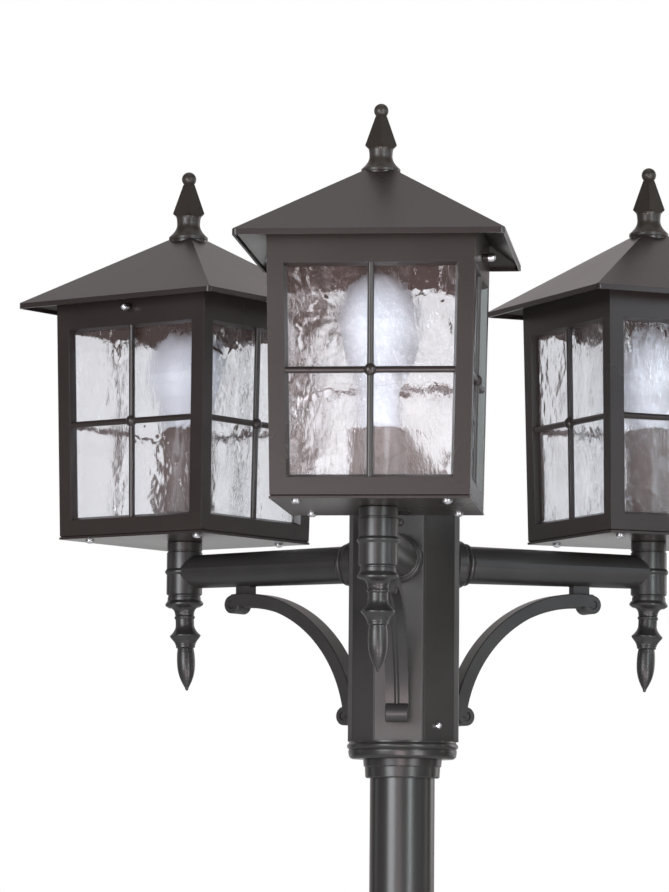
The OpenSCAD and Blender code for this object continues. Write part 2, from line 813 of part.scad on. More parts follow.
// Profile of the finial's turned base, waist and flare, for a finial of height h
function finial_profile(h) =
    let (base_r = base_d / 2, waist_r = waist_d / 2, rim_r = rim_d() / 2,
        waist_z = 0.262 * h, foot_z = 0.066 * h)
    concat(
        [[0, 0], [base_r - 0.4, 0], [base_r, 0.008 * h], [base_r, 0.048 * h], [base_r - 0.4, 0.056 * h]],
        [for (t = [1:-0.1:0]) [waist_r + (base_r - 1 - waist_r) * t * t, waist_z - (waist_z - foot_z) * t]],
        [[waist_r + 0.1, 0.3 * h], [waist_r + 0.3, 0.335 * h], [waist_r + 0.6, 0.365 * h]],
        [[waist_r + 1.1, 0.388 * h], [waist_r + 2.1, 0.406 * h], [rim_r - 0.7, 0.423 * h]],
        [[rim_r, 0.432 * h], [rim_r, 0.44 * h]]
    );

function rim_d() = spire_w * 1.36;

// The four-sided spire and its scalloped lower edge are cut from the same turning
module finial_form(h) {
    spire_low = 0.432 * h;
    spire_top = 0.915 * h;
    spire_half = spire_w / 2;
    tip_half = spire_half * 0.35;
    grow = (spire_half - tip_half) / (spire_top - spire_low);
    cut_low = 0.3 * h;
    intersection() {
        rotate_extrude()
            polygon(concat(finial_profile(h), [[rim_d(), 0.45 * h], [rim_d(), spire_top], [0, spire_top]]));
        union() {
            frustum(-over, base_d, cut_low, base_d);
            frustum(cut_low, spire_half + grow * (spire_low - cut_low), spire_top, tip_half);
        }
    }
    translate([0, 0, spire_top - over]) cylinder(r = tip_half, h = h - spire_top);
    translate([0, 0, h]) sphere(d = ball_d);
}

function finial_size(k) = k == 0 ? front_finial : 1;

module roof_finial(k) {
    color([0.3, 0.28, 0.27])
        at_lantern(k) translate([0, 0, seat_z]) rotate(90 - 120 * k + spire_turn) {
            translate([0, 0, -12]) cylinder(d = finial_stud_d, h = 12 + over);
            scale(finial_size(k)) finial_form(finial_h);
        }
}

module lamp_cover(k) {
    h = k == 0 ? front_cover_h : cover_h;
    wall = 1.6;
    color([0.3, 0.28, 0.27])
        at_lantern(k) translate([0, 0, floor_top])
            difference() {
                cylinder(d = cover_d, h = h);
                translate([0, 0, -over]) cylinder(d = cover_d - 2 * wall, h = h + 2 * over);
            }
}

module lamp_socket(k) {
    color([0.93, 0.93, 0.92])
        at_lantern(k)
            difference() {
                union() {
                    translate([0, 0, socket_low]) cylinder(d1 = socket_d - 6, d2 = socket_d, h = 5);
                    translate([0, 0, socket_low + 5]) cylinder(d = socket_d, h = socket_h - 5);
                }
                translate([0, 0, socket_top - lamp_cap_h])
                    cylinder(d = lamp_cap_d + 1.2, h = lamp_cap_h + over);
                translate([0, 0, socket_low - over])
                    cylinder(d = nipple_d + 2 * screw_fit, h = nipple_grip + over);
            }
}

// Lamp turned about its axis: screw cap, tapering housing and dome
module lamp(k) {
    lamp_r = lamp_d / 2;
    neck_r = socket_d / 2;
    cap_r = lamp_cap_d / 2;
    color([0.95, 0.95, 0.96])
        at_lantern(k) translate([0, 0, seam_z])
            rotate_extrude()
                polygon(concat(
                    [[0, -housing_h - lamp_cap_h + 2], [6, -housing_h - lamp_cap_h + 2]],
                    [[cap_r, -housing_h - lamp_cap_h + 8], [cap_r, -housing_h], [neck_r - 1, -housing_h]],
                    [[neck_r, -housing_h + 1], [neck_r + 0.6, -housing_h + 4]],
                    [for (t = [0.25:0.125:0.75]) [neck_r + (lamp_r - neck_r) * t,
                        -housing_h + 4 + (housing_h - 18) * t]],
                    arc_points(lamp_r - 14, -4, 14, -26, 0, 6),
                    [for (a = [0:9:90]) [lamp_r * cos(a), dome_h * sin(a)]]
                ));
}

module conduit_nipples() {
    low = hub_top_z - nipple_seat;
    wall = 1.8;
    color([0.75, 0.7, 0.5])
        for (k = [0:2])
            at_lantern(k) translate([0, 0, low])
                difference() {
                    cylinder(d = nipple_d, h = socket_low + nipple_grip - low);
                    translate([0, 0, -over])
                        cylinder(d = nipple_d - 2 * wall, h = socket_low + nipple_grip - low + 2 * over);
                }
}

module floor_screws() {
    color([0.8, 0.8, 0.8])
        for (k = [0:2]) for (x = [-1, 1]) for (y = [-1, 1])
            at_lantern(k) translate([x * floor_screw_at, y * floor_screw_at, hub_top_z]) mirror([0, 0, 1])
                domed_screw(floor_head_d, 3.4, floor_shank_d, floor_t + sill_h);
}

// Screw with a stand-off collar behind its domed head, seated on the frame's leaning face
module roof_screws() {
    seat = body_half(roof_screw_z) + 0.2;
    collar_l = 4.6;
    color([0.8, 0.8, 0.8])
        for (k = [0:2]) for (y = [0, 1])
            at_lantern(k) rotate(180 * y) translate([0, -seat, roof_screw_z]) rotate([90, 0, 0]) {
                cylinder(d = roof_head_d - 1, h = collar_l + over);
                translate([0, 0, collar_l])
                    domed_screw(roof_head_d, 7, roof_shank_d, collar_l + seat - tab_in + 1);
            }
}

module plate_screws() {
    color([0.7, 0.7, 0.7])
        for (k = [0:2])
            at_arm(k) translate([plate_face, 0, head_z + plate_screw_z]) rotate([0, 90, 0])
                domed_screw(column_head_d, 2.6, column_shank_d, plate_t + 8);
}

module grub_screws() {
    shank = hex_flats / 2 - pole_d / 2 - 0.1;
    color([0.8, 0.8, 0.8])
        for (k = GRUB_FACES)
            at_arm(k) translate([-hex_flats / 2, grub_shift, head_z + grub_z]) rotate([0, -90, 0])
                domed_screw(column_head_d, 4.5, column_shank_d, shank);
}

foot();
pole();
pole_sleeve();
head_ring();
head_column();
head_cap();
for (k = [0:2]) {
    arm_plate(k);
    arm(k);
    spacer(k);
    bracket(k);
    drop_finial(k);
    floor_plate(k);
    lantern_frame(k);
    roof(k);
    roof_finial(k);
    lamp_cover(k);
    lamp_socket(k);
    lamp(k);
    for (i = [0:3])
        pane(k, i);
}
conduit_nipples();
floor_screws();
roof_screws();
plate_screws();
grub_screws();
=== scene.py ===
"""Garden lamp post: three square lanterns with water-rippled panes on scrolled arms.

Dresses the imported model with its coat, glass, lamps and fixings, and sets a plain studio round it.
"""

import math

import bmesh
import bpy
from bpy.props import FloatProperty, FloatVectorProperty, IntProperty, PointerProperty
from bpy.types import Operator, Panel, PropertyGroup
from mathutils import Matrix, Vector, noise


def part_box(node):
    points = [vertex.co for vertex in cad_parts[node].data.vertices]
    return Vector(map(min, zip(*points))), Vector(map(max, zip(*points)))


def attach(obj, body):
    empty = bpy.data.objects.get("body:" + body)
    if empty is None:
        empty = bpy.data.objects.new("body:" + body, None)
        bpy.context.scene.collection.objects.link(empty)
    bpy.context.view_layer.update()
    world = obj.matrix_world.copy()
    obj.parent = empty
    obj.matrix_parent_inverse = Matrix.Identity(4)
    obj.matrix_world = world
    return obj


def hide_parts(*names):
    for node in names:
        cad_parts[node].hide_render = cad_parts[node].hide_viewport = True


bl_info = {
    "name": "Garden lamp post",
    "version": (1, 0, 0),
    "blender": (4, 5, 0),
    "location": "3D View > Sidebar > Lamp Post",
    "description": "Coat, rippled glass, lamps, fixings and studio for a three-lantern post",
    "category": "Object",
}

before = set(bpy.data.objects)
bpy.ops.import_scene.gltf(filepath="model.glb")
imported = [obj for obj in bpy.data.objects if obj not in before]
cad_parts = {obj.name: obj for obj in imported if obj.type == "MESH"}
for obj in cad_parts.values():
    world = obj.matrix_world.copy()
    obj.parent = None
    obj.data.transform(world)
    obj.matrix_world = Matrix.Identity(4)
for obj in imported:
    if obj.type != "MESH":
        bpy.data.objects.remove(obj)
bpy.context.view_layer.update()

MM = 0.001
SIDES = ("front", "right", "left")
PANES = ("outer", "right", "inner", "left")
COLUMN = ("foot", "pole", "pole_sleeve", "head_ring", "head_column", "head_cap")
CAST_KINDS = ("arm", "bracket", "drop_finial", "spacer")
SHEET_KINDS = ("floor_plate", "lantern_frame", "roof")
WHITE, BLACK = (1, 1, 1, 1), (0, 0, 0, 1)


def linear(colour):
    """The linear RGB triple of an sRGB hex colour."""
    parts = [int(colour[i : i + 2], 16) / 255 for i in (1, 3, 5)]
    return tuple(p / 12.92 if p <= 0.04045 else ((p + 0.055) / 1.055) ** 2.4 for p in parts)


def node_box(name):
    """Lowest corner, highest corner and size of a CAD node."""
    low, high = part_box(name)
    return low, high, high - low


# Distance of each lantern's axis from the post's, and height of the underside of its floor plate.
REACH = -(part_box("lantern_frame_front")[0].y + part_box("lantern_frame_front")[1].y) / 2
FLOOR_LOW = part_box("floor_plate_front")[0].z

# Share of the speckle in the coat's tint, and how far tint and roughness vary round their own values.
SPECKLE_SHARE, TINT_SPREAD, ROUGH_SPREAD = 0.45, 0.26, 0.05

PANE_THICKNESS = 3 * MM
# The waves fade out over this distance from a pane's edge.
WAVE_FADE = 4 * MM
# Heights of the broad waves, the runs, the fine ripples and the blobs in the glass, in millimetres.
BROAD, RUN, FINE, BLOB = 0.9, 0.43, 0.26, 0.5
# Each pane reads the noise this far from the last one, and each kind of wave at its own offset.
PANE_STEP, RUN_AT, FINE_AT, WARP_AT, CALM_AT = 7.31, 11, 23, 40, 61
# Share of a blob's width that slopes to the crease round it.
CREASE = 0.35
# Least and greatest factor on the waves in calm and wrinkled patches, its mean, and how far the noise moves it.
CALM_LEAST, CALM_MOST, CALM_MEAN, CALM_SWING = 0.25, 1.35, 0.7, 1.3

# Half the height over which the lamp's dome turns to its housing.
SEAM_HALF = 0.2 * MM

# Heights of the heads, and lengths and widths of the necks under them.
FLOOR_HEAD_HEIGHT, ROOF_HEAD_HEIGHT, GRUB_HEAD_HEIGHT = 3.4 * MM, 7 * MM, 4.5 * MM
NECK, FLOOR_NECK_WIDTH, GRUB_NECK_WIDTH = 4 * MM, 4 * MM, 5 * MM
# Share of a head's height that its straight rim takes, steps of its dome and steps of its turning.
RIM_SHARE, DOME_STEPS, TURN_STEPS = 0.35, 7, 28
# Width of the slot's sloped walls, its greatest depth, and its greatest share of the head's height.
SLOT_WALL, SLOT_DEPTH, SLOT_SHARE = 0.12 * MM, 1.3 * MM, 0.45

# The camera's turns in radians, its lens and sensor in millimetres and its place, and the point that the soft
# boxes face.
CAMERA_YAW, CAMERA_PITCH, CAMERA_ROLL = -0.1030, 0.1018, 0.0081
CAMERA_LENS, CAMERA_SENSOR = 170.39, 36
CAMERA_PLACE = Vector((0.33759, -3.90047, 1.6188))
AIM = Vector((0, 0, 1.9))
# Name, azimuth and elevation in degrees, distance and size in metres, level and colour.
SOFT_BOXES = (
    ("key_left", -33, 3, 3.2, (1.35, 1.5), 34, "#f8fbff"),
    ("key_right", 33, 8, 3.2, (0.5, 1.8), 43, "#f2ffff"),
    ("side_right", 70, 14, 3.2, (0.6, 1.1), 20, "#e4f3ff"),
    ("front", -8, -2, 3.2, (0.9, 1.0), 8, "#fff2f4"),
    ("low", 0, -22, 3.2, (1.0, 0.8), 36, "#ffe9ee"),
    ("low_right", 40, -22, 3.2, (1.0, 0.8), 38, "#fff8fb"),
    ("rim_left", -100, 8, 3.2, (0.5, 1.8), 5, "#f5f9ff"),
    ("rim_right", 100, 8, 3.2, (0.5, 1.8), 7, "#fffaf4"),
    ("back_right", 135, 10, 3.5, (1.0, 1.8), 7, "#ffffff"),
    ("top", 0, 88, 3.0, (2.4, 2.4), 2, "#ffffff"),
)


def length(name, default, text):
    """A length setting in metres."""
    return FloatProperty(
        name=name, description=text, default=default, min=0, precision=5, unit="LENGTH", subtype="DISTANCE"
    )


def share(name, default, text):
    """A setting between 0 and 1."""
    return FloatProperty(name=name, description=text, default=default, min=0, max=1, subtype="FACTOR")


def tone(name, default, text):
    """A colour setting, given as sRGB hex."""
    return FloatVectorProperty(
        name=name, description=text, default=linear(default), min=0, max=1, size=3, subtype="COLOR"
    )


class CoatSettings(PropertyGroup):
    colour: tone("Colour", "#292321", "Colour of the satin powder coat on the lanterns")
    post: tone("Post colour", "#272625", "Colour of the satin powder coat on the post and its arms")
    # A paler copy of the post's coat: painted light for the plates' brighter faces.
    plate: tone("Plate colour", "#3d3c3b", "Colour of the coat on the arms' wall plates")
    turned: tone("Turned colour", "#2d2823", "Colour of the coat on the turned finials")
    roughness: share("Roughness", 0.29, "Roughness of the satin coat")
    turned_roughness: share("Turned roughness", 0.38, "Roughness of the coat on the turned finials")
    cast_roughness: share("Cast roughness", 0.34, "Roughness of the coat on the arms and their drops")
    speckle: length("Speckle", 1.3 * MM, "Width of the coat's fine speckles")
    peel: length("Orange peel", 2.4 * MM, "Width of the coat's orange-peel bumps")
    edge: length("Edge", 0.5 * MM, "Radius of the coat over sharp edges")
    boss: length("Boss", 11.2 * MM, "Width of the bosses where the glazing bars cross")
    boss_depth: length("Boss depth", 4.8 * MM, "Height of each boss over the bars' mid plane")
    boss_out: length("Boss distance", 85.3 * MM, "Distance of the bosses from their lantern's axis")
    boss_height: length("Boss height", 2049.7 * MM, "Height of the bosses above the ground")


class GlassSettings(PropertyGroup):
    tint: tone("Tint", "#f4f6f9", "Colour that white turns to through one pane")
    # Colour and share of a thin brown layer on the glass: partly dust, partly a painted reflection.
    dust_and_sheen: tone("Bloom", "#ab7d6e", "Colour of the thin bloom on the glass")
    dust_and_sheen_share: share("Haze", 0.032, "Share of the light that the bloom scatters")
    blob: length("Blob width", 34 * MM, "Width of the blobs pressed into the glass")
    wave: length("Wave width", 26 * MM, "Width of the broad waves in the glass")
    ripple: length("Ripple width", 9 * MM, "Width of the ripples in the glass")
    streak: length("Streak width", 1.6 * MM, "Width of the fine upright streaks")
    depth: FloatProperty(
        name="Depth", description="Depth of the waves against the usual", default=0.92, min=0
    )
    cell: length("Mesh size", 1.25 * MM, "Size of the mesh that carries the waves")


class LampSettings(PropertyGroup):
    housing: tone("Housing", "#b9bcbf", "Colour of the lamp's white housing")
    dome: tone("Dome", "#b4b6ba", "Colour of the lamp's frosted dome")
    socket: tone("Socket", "#c4c6ca", "Colour of the glazed ceramic socket")
    # Paler and browner than the frames' coat: painted warm light on the cover seen through the glass.
    cover: tone("Cover", "#3f3632", "Colour of the cover round the holder")
    seam: length("Seam height", 161 * MM, "Height of the lamp's seam above the floor plate")


class ScrewSettings(PropertyGroup):
    steel: tone("Steel", "#dcdcde", "Colour of the bright plated screws")
    brass: tone("Brass", "#c9a75e", "Colour of the threaded nipples")
    slot: length("Slot", 1.3 * MM, "Width of the slot in each screw head")
    floor_head: length("Floor screw", 8.8 * MM, "Width of the heads under the lanterns")
    roof_head: length("Roof screw", 7.4 * MM, "Width of the heads under the eaves")
    grub_head: length("Grub screw", 7.0 * MM, "Width of the heads on the column")
    spread: length("Spread", 65 * MM, "Distance of the floor screws from a lantern's mid lines")
    seat: length("Roof screw seat", 89.9 * MM, "Distance of the roof screws' seats from a lantern's mid line")
    collar: length("Collar", 4.6 * MM, "Length of the collar behind each roof screw")
    shift: length("Shift", 4 * MM, "Distance of the grub screws from the middle of their faces")


class StageSettings(PropertyGroup):
    floor: tone("Floor", "#efefef", "Colour of the studio floor")
    level: FloatProperty(name="Light", description="Level of the soft light", default=1, min=0)
    front: tone("Front", "#736b6e", "Tone of the room in front, as gloss shows it")
    back: tone("Back", "#d3cbcc", "Tone of the backdrop, as gloss shows it")
    fill: tone("Fill", "#8c8c8c", "Tone of the room that lights matt surfaces")
    radius: length("Floor radius", 9.0, "Radius of the studio floor")
    sides: IntProperty(name="Floor sides", description="Sides of the floor's outline", default=96, min=12)


def add(tree, kind, settings=None, links=None):
    """Adds a node, sets its sockets or its own settings, and links sockets to it."""
    node = tree.nodes.new(kind)
    for name, value in (settings or {}).items():
        if isinstance(name, int) or name in node.inputs:
            node.inputs[name].default_value = value
        else:
            setattr(node, name, value)
    for name, source in (links or {}).items():
        tree.links.new(source, node.inputs[name])
    return node


def blank(name):
    """An empty node material."""
    material = bpy.data.materials.new(name)
    material.use_nodes = True
    material.node_tree.nodes.clear()
    return material, material.node_tree


def rgba(colour):
    """An opaque colour for a node's socket."""
    return (*colour, 1)


def dress(node, material):
    """Gives a CAD node one material in all its slots."""
    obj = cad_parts[node]
    if not obj.material_slots:
        obj.data.materials.append(material)
    for slot in obj.material_slots:
        slot.material = material


def powder_coat(name, settings, colour, roughness, peel_depth, broad, edged=True):
    """Satin powder coat: fine speckle, orange peel, and edges that the coat rounds.

    peel_depth is the height of the bumps, and broad the width of the slow changes of tone. Pieces with
    no long edges go without the rounding.
    """
    material, tree = blank(name)
    place = add(tree, "ShaderNodeTexCoord").outputs["Object"]
    speckle = add(
        tree,
        "ShaderNodeTexNoise",
        {"Scale": 1 / settings.speckle, "Detail": 2.0, "Roughness": 0.6},
        {"Vector": place},
    )
    slow = add(tree, "ShaderNodeTexNoise", {"Scale": 1 / broad, "Detail": 3.0}, {"Vector": place})
    both = add(
        tree,
        "ShaderNodeMath",
        {"operation": "MULTIPLY_ADD", 1: SPECKLE_SHARE},
        {0: speckle.outputs["Fac"], 2: slow.outputs["Fac"]},
    )
    dark, pale = [c * (1 - TINT_SPREAD) for c in colour], [c * (1 + TINT_SPREAD) for c in colour]
    spread = add(tree, "ShaderNodeMapRange", {"From Min": 0.35, "From Max": 1.1}, {"Value": both.outputs[0]})
    tint = add(
        tree,
        "ShaderNodeMix",
        {"data_type": "RGBA", 6: rgba(dark), 7: rgba(pale)},
        {0: spread.outputs[0]},
    )
    rough = add(
        tree,
        "ShaderNodeMapRange",
        {"To Min": roughness - ROUGH_SPREAD, "To Max": roughness + ROUGH_SPREAD},
        {"Value": slow.outputs["Fac"]},
    )
    peel = add(tree, "ShaderNodeTexNoise", {"Scale": 1 / settings.peel, "Detail": 2.0}, {"Vector": place})
    bump = add(
        tree, "ShaderNodeBump", {"Strength": 1.0, "Distance": peel_depth}, {"Height": peel.outputs["Fac"]}
    )
    if edged:
        edge = add(tree, "ShaderNodeBevel", {"samples": 4, "Radius": settings.edge})
        tree.links.new(edge.outputs[0], bump.inputs["Normal"])
    shader = add(
        tree,
        "ShaderNodeBsdfPrincipled",
        {"IOR": 1.5},
        {"Base Color": tint.outputs[2], "Roughness": rough.outputs[0], "Normal": bump.outputs[0]},
    )
    add(tree, "ShaderNodeOutputMaterial", links={"Surface": shader.outputs[0]})
    return material


def bosses(settings, material):
    """A domed boss on each crossing of the glazing bars, pressed flat towards the pane."""
    bm = bmesh.new()
    for k in range(len(SIDES)):
        for i in range(len(PANES)):
            made = bmesh.ops.create_uvsphere(bm, u_segments=24, v_segments=12, radius=1)["verts"]
            shape = Matrix.Diagonal((settings.boss_depth, settings.boss / 2, settings.boss / 2, 1))
            turn = Matrix.Rotation(math.radians(90 * i), 4, "Z")
            place = Matrix.Translation((settings.boss_out, 0, settings.boss_height))
            bmesh.ops.transform(bm, matrix=lantern_place(k) @ turn @ place @ shape, verts=made)
    finished(bm, "bar_bosses", material)


class LAMPPOST_OT_coat(Operator):
    """Coats the castings, the sheet metal and the pole"""

    bl_idname = "lamppost.coat"
    bl_label = "Coat the metalwork"

    def execute(self, context):
        settings = context.scene.lamppost_coat
        post, colour, lit_plate_colour = settings.post, settings.colour, settings.plate
        roughness = settings.roughness
        # Sand-cast aluminium under satin powder coat: the light breaks softly over a faintly uneven skin.
        cast = powder_coat(
            "satin coat on sand-cast aluminium",
            settings,
            post,
            settings.cast_roughness,
            peel_depth=0.03 * MM,
            broad=50 * MM,
            edged=False,
        )
        # Drawn tube and bar under the same coat: flatter, with long even highlights.
        tube = powder_coat(
            "satin coat on drawn tube", settings, post, roughness, peel_depth=0.02 * MM, broad=120 * MM
        )
        # The lanterns' sheet metal reads warmer, a brown-grey.
        sheet = powder_coat(
            "satin coat on rolled sheet", settings, colour, roughness, peel_depth=0.03 * MM, broad=120 * MM
        )
        # The wall plates are milled flat; their paler copy of the post's coat is painted light for the brighter
        # look of their faces.
        plate = powder_coat(
            "satin coat on milled plate",
            settings,
            lit_plate_colour,
            roughness,
            peel_depth=0.02 * MM,
            broad=80 * MM,
        )
        # Turned finials under a duller, olive-brown coat: two soft lights on each waist.
        turned = powder_coat(
            "dull coat on turned aluminium",
            settings,
            settings.turned,
            settings.turned_roughness,
            peel_depth=0.01 * MM,
            broad=30 * MM,
            edged=False,
        )
        for node in COLUMN:
            dress(node, tube)
        for side in SIDES:
            for kind in CAST_KINDS:
                dress(f"{kind}_{side}", cast)
            for kind in SHEET_KINDS:
                dress(f"{kind}_{side}", sheet)
            dress(f"arm_plate_{side}", plate)
            dress(f"roof_finial_{side}", turned)
        bosses(settings, sheet)
        return {"FINISHED"}


def rippled_glass(settings):
    """Rolled water glass: clear, with patches of fine upright streaks and a thin brown layer, part dust, part
    painted reflection.
    """
    material, tree = blank("rolled water glass")
    place = add(tree, "ShaderNodeTexCoord").outputs["Object"]
    # The streaks are three times as tall as they are wide.
    tall = add(tree, "ShaderNodeMapping", {"vector_type": "POINT", "Scale": (1, 1, 0.33)}, {"Vector": place})
    streak = add(
        tree,
        "ShaderNodeTexNoise",
        {"Scale": 1 / settings.streak, "Detail": 2.0, "Distortion": 0.6},
        {"Vector": tall.outputs[0]},
    )
    # They gather in patches about as wide as the blobs.
    patch = add(tree, "ShaderNodeTexNoise", {"Scale": 1 / settings.blob, "Detail": 1.0}, {"Vector": place})
    strength = add(
        tree,
        "ShaderNodeMapRange",
        {
            "interpolation_type": "SMOOTHSTEP",
            "From Min": 0.4,
            "From Max": 0.65,
            "To Min": 0.35,
            "To Max": 1.0,
        },
        {"Value": patch.outputs["Fac"]},
    )
    bump = add(
        tree,
        "ShaderNodeBump",
        {"Distance": 0.22 * MM},
        {"Strength": strength.outputs[0], "Height": streak.outputs["Fac"]},
    )
    shader = add(
        tree,
        "ShaderNodeBsdfPrincipled",
        {"Base Color": rgba(settings.tint), "Roughness": 0.0, "IOR": 1.5, "Transmission Weight": 1.0},
        {"Normal": bump.outputs[0]},
    )
    # A brown diffuse layer over the pane: partly a bloom of dust, partly a painted reflection laid on the
    # glass.
    dust_and_sheen = add(tree, "ShaderNodeBsdfDiffuse", {"Color": rgba(settings.dust_and_sheen)}, {"Normal": bump.outputs[0]})
    # The noise has a mean of a half, so the mean share of the brown layer, dust and painted reflection, is the
    # share set for it.
    dust_and_sheen_mix = add(tree, "ShaderNodeMapRange", {"To Max": 2 * settings.dust_and_sheen_share}, {"Value": streak.outputs["Fac"]})
    hazy = add(
        tree, "ShaderNodeMixShader", links={0: dust_and_sheen_mix.outputs[0], 1: shader.outputs[0], 2: dust_and_sheen.outputs[0]}
    )
    # Light on its way to a surface behind passes straight, a little dimmed.
    lets_through = add(tree, "ShaderNodeBsdfTransparent", {"Color": rgba([c * 0.95 for c in settings.tint])})
    rays = add(tree, "ShaderNodeLightPath")
    mix = add(
        tree,
        "ShaderNodeMixShader",
        links={0: rays.outputs["Is Shadow Ray"], 1: hazy.outputs[0], 2: lets_through.outputs[0]},
    )
    add(tree, "ShaderNodeOutputMaterial", links={"Surface": mix.outputs[0]})
    return material


def wave_height(x, z, seed, settings):
    """Height of the glass's surface at a point of its pane: pressed blobs, broad waves and drawn-out runs."""
    shift = seed * PANE_STEP
    warp = noise.noise(Vector((x / (30 * MM), z / (40 * MM), shift + WARP_AT)))
    broad = noise.noise(Vector((x / settings.wave + 0.4 * warp, z / (1.2 * settings.wave), shift)))
    run = noise.noise(
        Vector((x / settings.ripple + 0.5 * warp, z / (1.35 * settings.ripple) + 0.35 * warp, shift + RUN_AT))
    )
    fine = noise.noise(Vector((x / (0.4 * settings.ripple), z / (0.6 * settings.ripple), shift + FINE_AT)))
    # The blobs meet in creases: the height falls where the two nearest blob centres are as near.
    near = noise.voronoi(
        Vector((x / settings.blob + 0.35 * warp + 0.12 * run, z / (1.5 * settings.blob) + 0.2 * broad, shift))
    )[0]
    crease = min(near[1] - near[0], CREASE) / CREASE
    blob = crease * (2 - crease)
    # Calm patches lie between wrinkled ones.
    calm = noise.noise(Vector((x / (50 * MM), z / (80 * MM), shift + CALM_AT)))
    calm = min(CALM_MOST, max(CALM_LEAST, CALM_MEAN + CALM_SWING * calm))
    return settings.depth * calm * (BROAD * broad + RUN * run + FINE * fine + BLOB * blob) * MM


def rippled_pane(seed, settings):
    """A pane of the size of its CAD node, flat outside and rippled inside.

    It stands in the outer window of a lantern, in the lantern's own frame.
    """
    low, high, size = node_box("pane_front_outer")
    half, tall = (high.x - low.x) / 2, size.z
    outer_top = -low.y - REACH
    inner_low = -high.y - REACH
    # The node's depth is its thickness and its lean together.
    outer_low = inner_low + PANE_THICKNESS
    across, up = round(2 * half / settings.cell), round(tall / settings.cell)
    bm = bmesh.new()
    bmesh.ops.create_grid(bm, x_segments=across, y_segments=up, size=0.5)
    bmesh.ops.transform(bm, matrix=Matrix.Diagonal((2 * half, tall, 1, 1)), verts=bm.verts)
    rim = [e for e in bm.edges if e.is_boundary]
    made = bmesh.ops.extrude_edge_only(bm, edges=rim)["geom"]
    back = [v for v in made if isinstance(v, bmesh.types.BMVert)]
    bmesh.ops.translate(bm, vec=(0, 0, PANE_THICKNESS), verts=back)
    for e in rim:
        e.smooth = False
    ends = [e for e in bm.edges if e.is_boundary]
    for e in ends:
        e.smooth = False
    bmesh.ops.contextual_create(bm, geom=ends)
    raised = set(back)
    for v in bm.verts:
        if v not in raised:
            fade = min(1, min(half - abs(v.co.x), tall / 2 - abs(v.co.y)) / WAVE_FADE)
            v.co.z -= fade * wave_height(v.co.x, v.co.y, seed, settings)
    # Local x runs across, y up and z outwards; the pane leans out as it rises.
    lean = (outer_top - outer_low) / tall
    for v in bm.verts:
        x, y, z = v.co
        v.co = Vector((outer_low - PANE_THICKNESS + z + lean * (y + tall / 2), x, low.z + y + tall / 2))
    bmesh.ops.recalc_face_normals(bm, faces=bm.faces)
    return bm


def finished(bm, name, material):
    """Makes the bmesh a smooth piece that rides on the post, with its place in its mesh."""
    mesh = bpy.data.meshes.new(name)
    for face in bm.faces:
        face.smooth = True
    bm.to_mesh(mesh)
    bm.free()
    obj = bpy.data.objects.new(name, mesh)
    bpy.context.scene.collection.objects.link(obj)
    mesh.materials.append(material)
    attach(obj, "root")
    return obj


def arm_turn(k):
    """The turn of an arm about the post: the front one's for 0, then round by thirds."""
    return Matrix.Rotation(math.radians(-90 + 120 * k), 4, "Z")


def lantern_place(k):
    """From a lantern's own frame, x outwards from the pole, to the post's frame."""
    return arm_turn(k) @ Matrix.Translation((REACH, 0, 0))


class LAMPPOST_OT_glaze(Operator):
    """Puts a rippled pane in each window"""

    bl_idname = "lamppost.glaze"
    bl_label = "Glaze the lanterns"

    def execute(self, context):
        settings = context.scene.lamppost_glass
        material = rippled_glass(settings)
        for k, side in enumerate(SIDES):
            for i, pane in enumerate(PANES):
                node = f"pane_{side}_{pane}"
                bm = rippled_pane(len(PANES) * k + i + 1, settings)
                turn = Matrix.Rotation(math.radians(90 * i), 4, "Z")
                bmesh.ops.transform(bm, matrix=lantern_place(k) @ turn, verts=bm.verts)
                obj = finished(bm, f"rippled_{node}", material)
                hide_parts(node)
        return {"FINISHED"}


def lamp_finish(settings):
    """Moulded lamp: a pale satin housing under a frosted, slightly darker dome."""
    material, tree = blank("moulded polycarbonate lamp")
    place = add(tree, "ShaderNodeTexCoord").outputs["Object"]
    height = add(tree, "ShaderNodeSeparateXYZ", links={0: place}).outputs[2]
    seam_z = FLOOR_LOW + settings.seam
    above = add(
        tree,
        "ShaderNodeMapRange",
        {"From Min": seam_z - SEAM_HALF, "From Max": seam_z + SEAM_HALF},
        {"Value": height},
    )
    # Slow clouding of the frosted plastic, about 15 mm across.
    cloud = add(tree, "ShaderNodeTexNoise", {"Scale": 66.0, "Detail": 3.0}, {"Vector": place})
    frost = add(
        tree,
        "ShaderNodeMix",
        {"data_type": "RGBA", 6: rgba([c * 0.9 for c in settings.dome]), 7: rgba(settings.dome)},
        {0: cloud.outputs["Fac"]},
    )
    body = add(
        tree,
        "ShaderNodeMix",
        {"data_type": "RGBA", 6: rgba(settings.housing)},
        {0: above.outputs[0], 7: frost.outputs[2]},
    )
    rough = add(tree, "ShaderNodeMapRange", {"To Min": 0.45, "To Max": 0.6}, {"Value": above.outputs[0]})
    shader = add(
        tree,
        "ShaderNodeBsdfPrincipled",
        {"IOR": 1.58},
        {"Base Color": body.outputs[2], "Roughness": rough.outputs[0]},
    )
    add(tree, "ShaderNodeOutputMaterial", links={"Surface": shader.outputs[0]})
    return material


def glazed_ceramic(settings):
    """Glazed porcelain: glossy off-white with faint pooling of the glaze."""
    material, tree = blank("glazed porcelain socket")
    place = add(tree, "ShaderNodeTexCoord").outputs["Object"]
    # The glaze pools in spots about 11 mm across.
    pool = add(tree, "ShaderNodeTexNoise", {"Scale": 90.0, "Detail": 2.0}, {"Vector": place})
    tint = add(
        tree,
        "ShaderNodeMix",
        {"data_type": "RGBA", 6: rgba([c * 0.93 for c in settings.socket]), 7: rgba(settings.socket)},
        {0: pool.outputs["Fac"]},
    )
    shader = add(
        tree, "ShaderNodeBsdfPrincipled", {"Roughness": 0.12, "IOR": 1.5}, {"Base Color": tint.outputs[2]}
    )
    add(tree, "ShaderNodeOutputMaterial", links={"Surface": shader.outputs[0]})
    return material


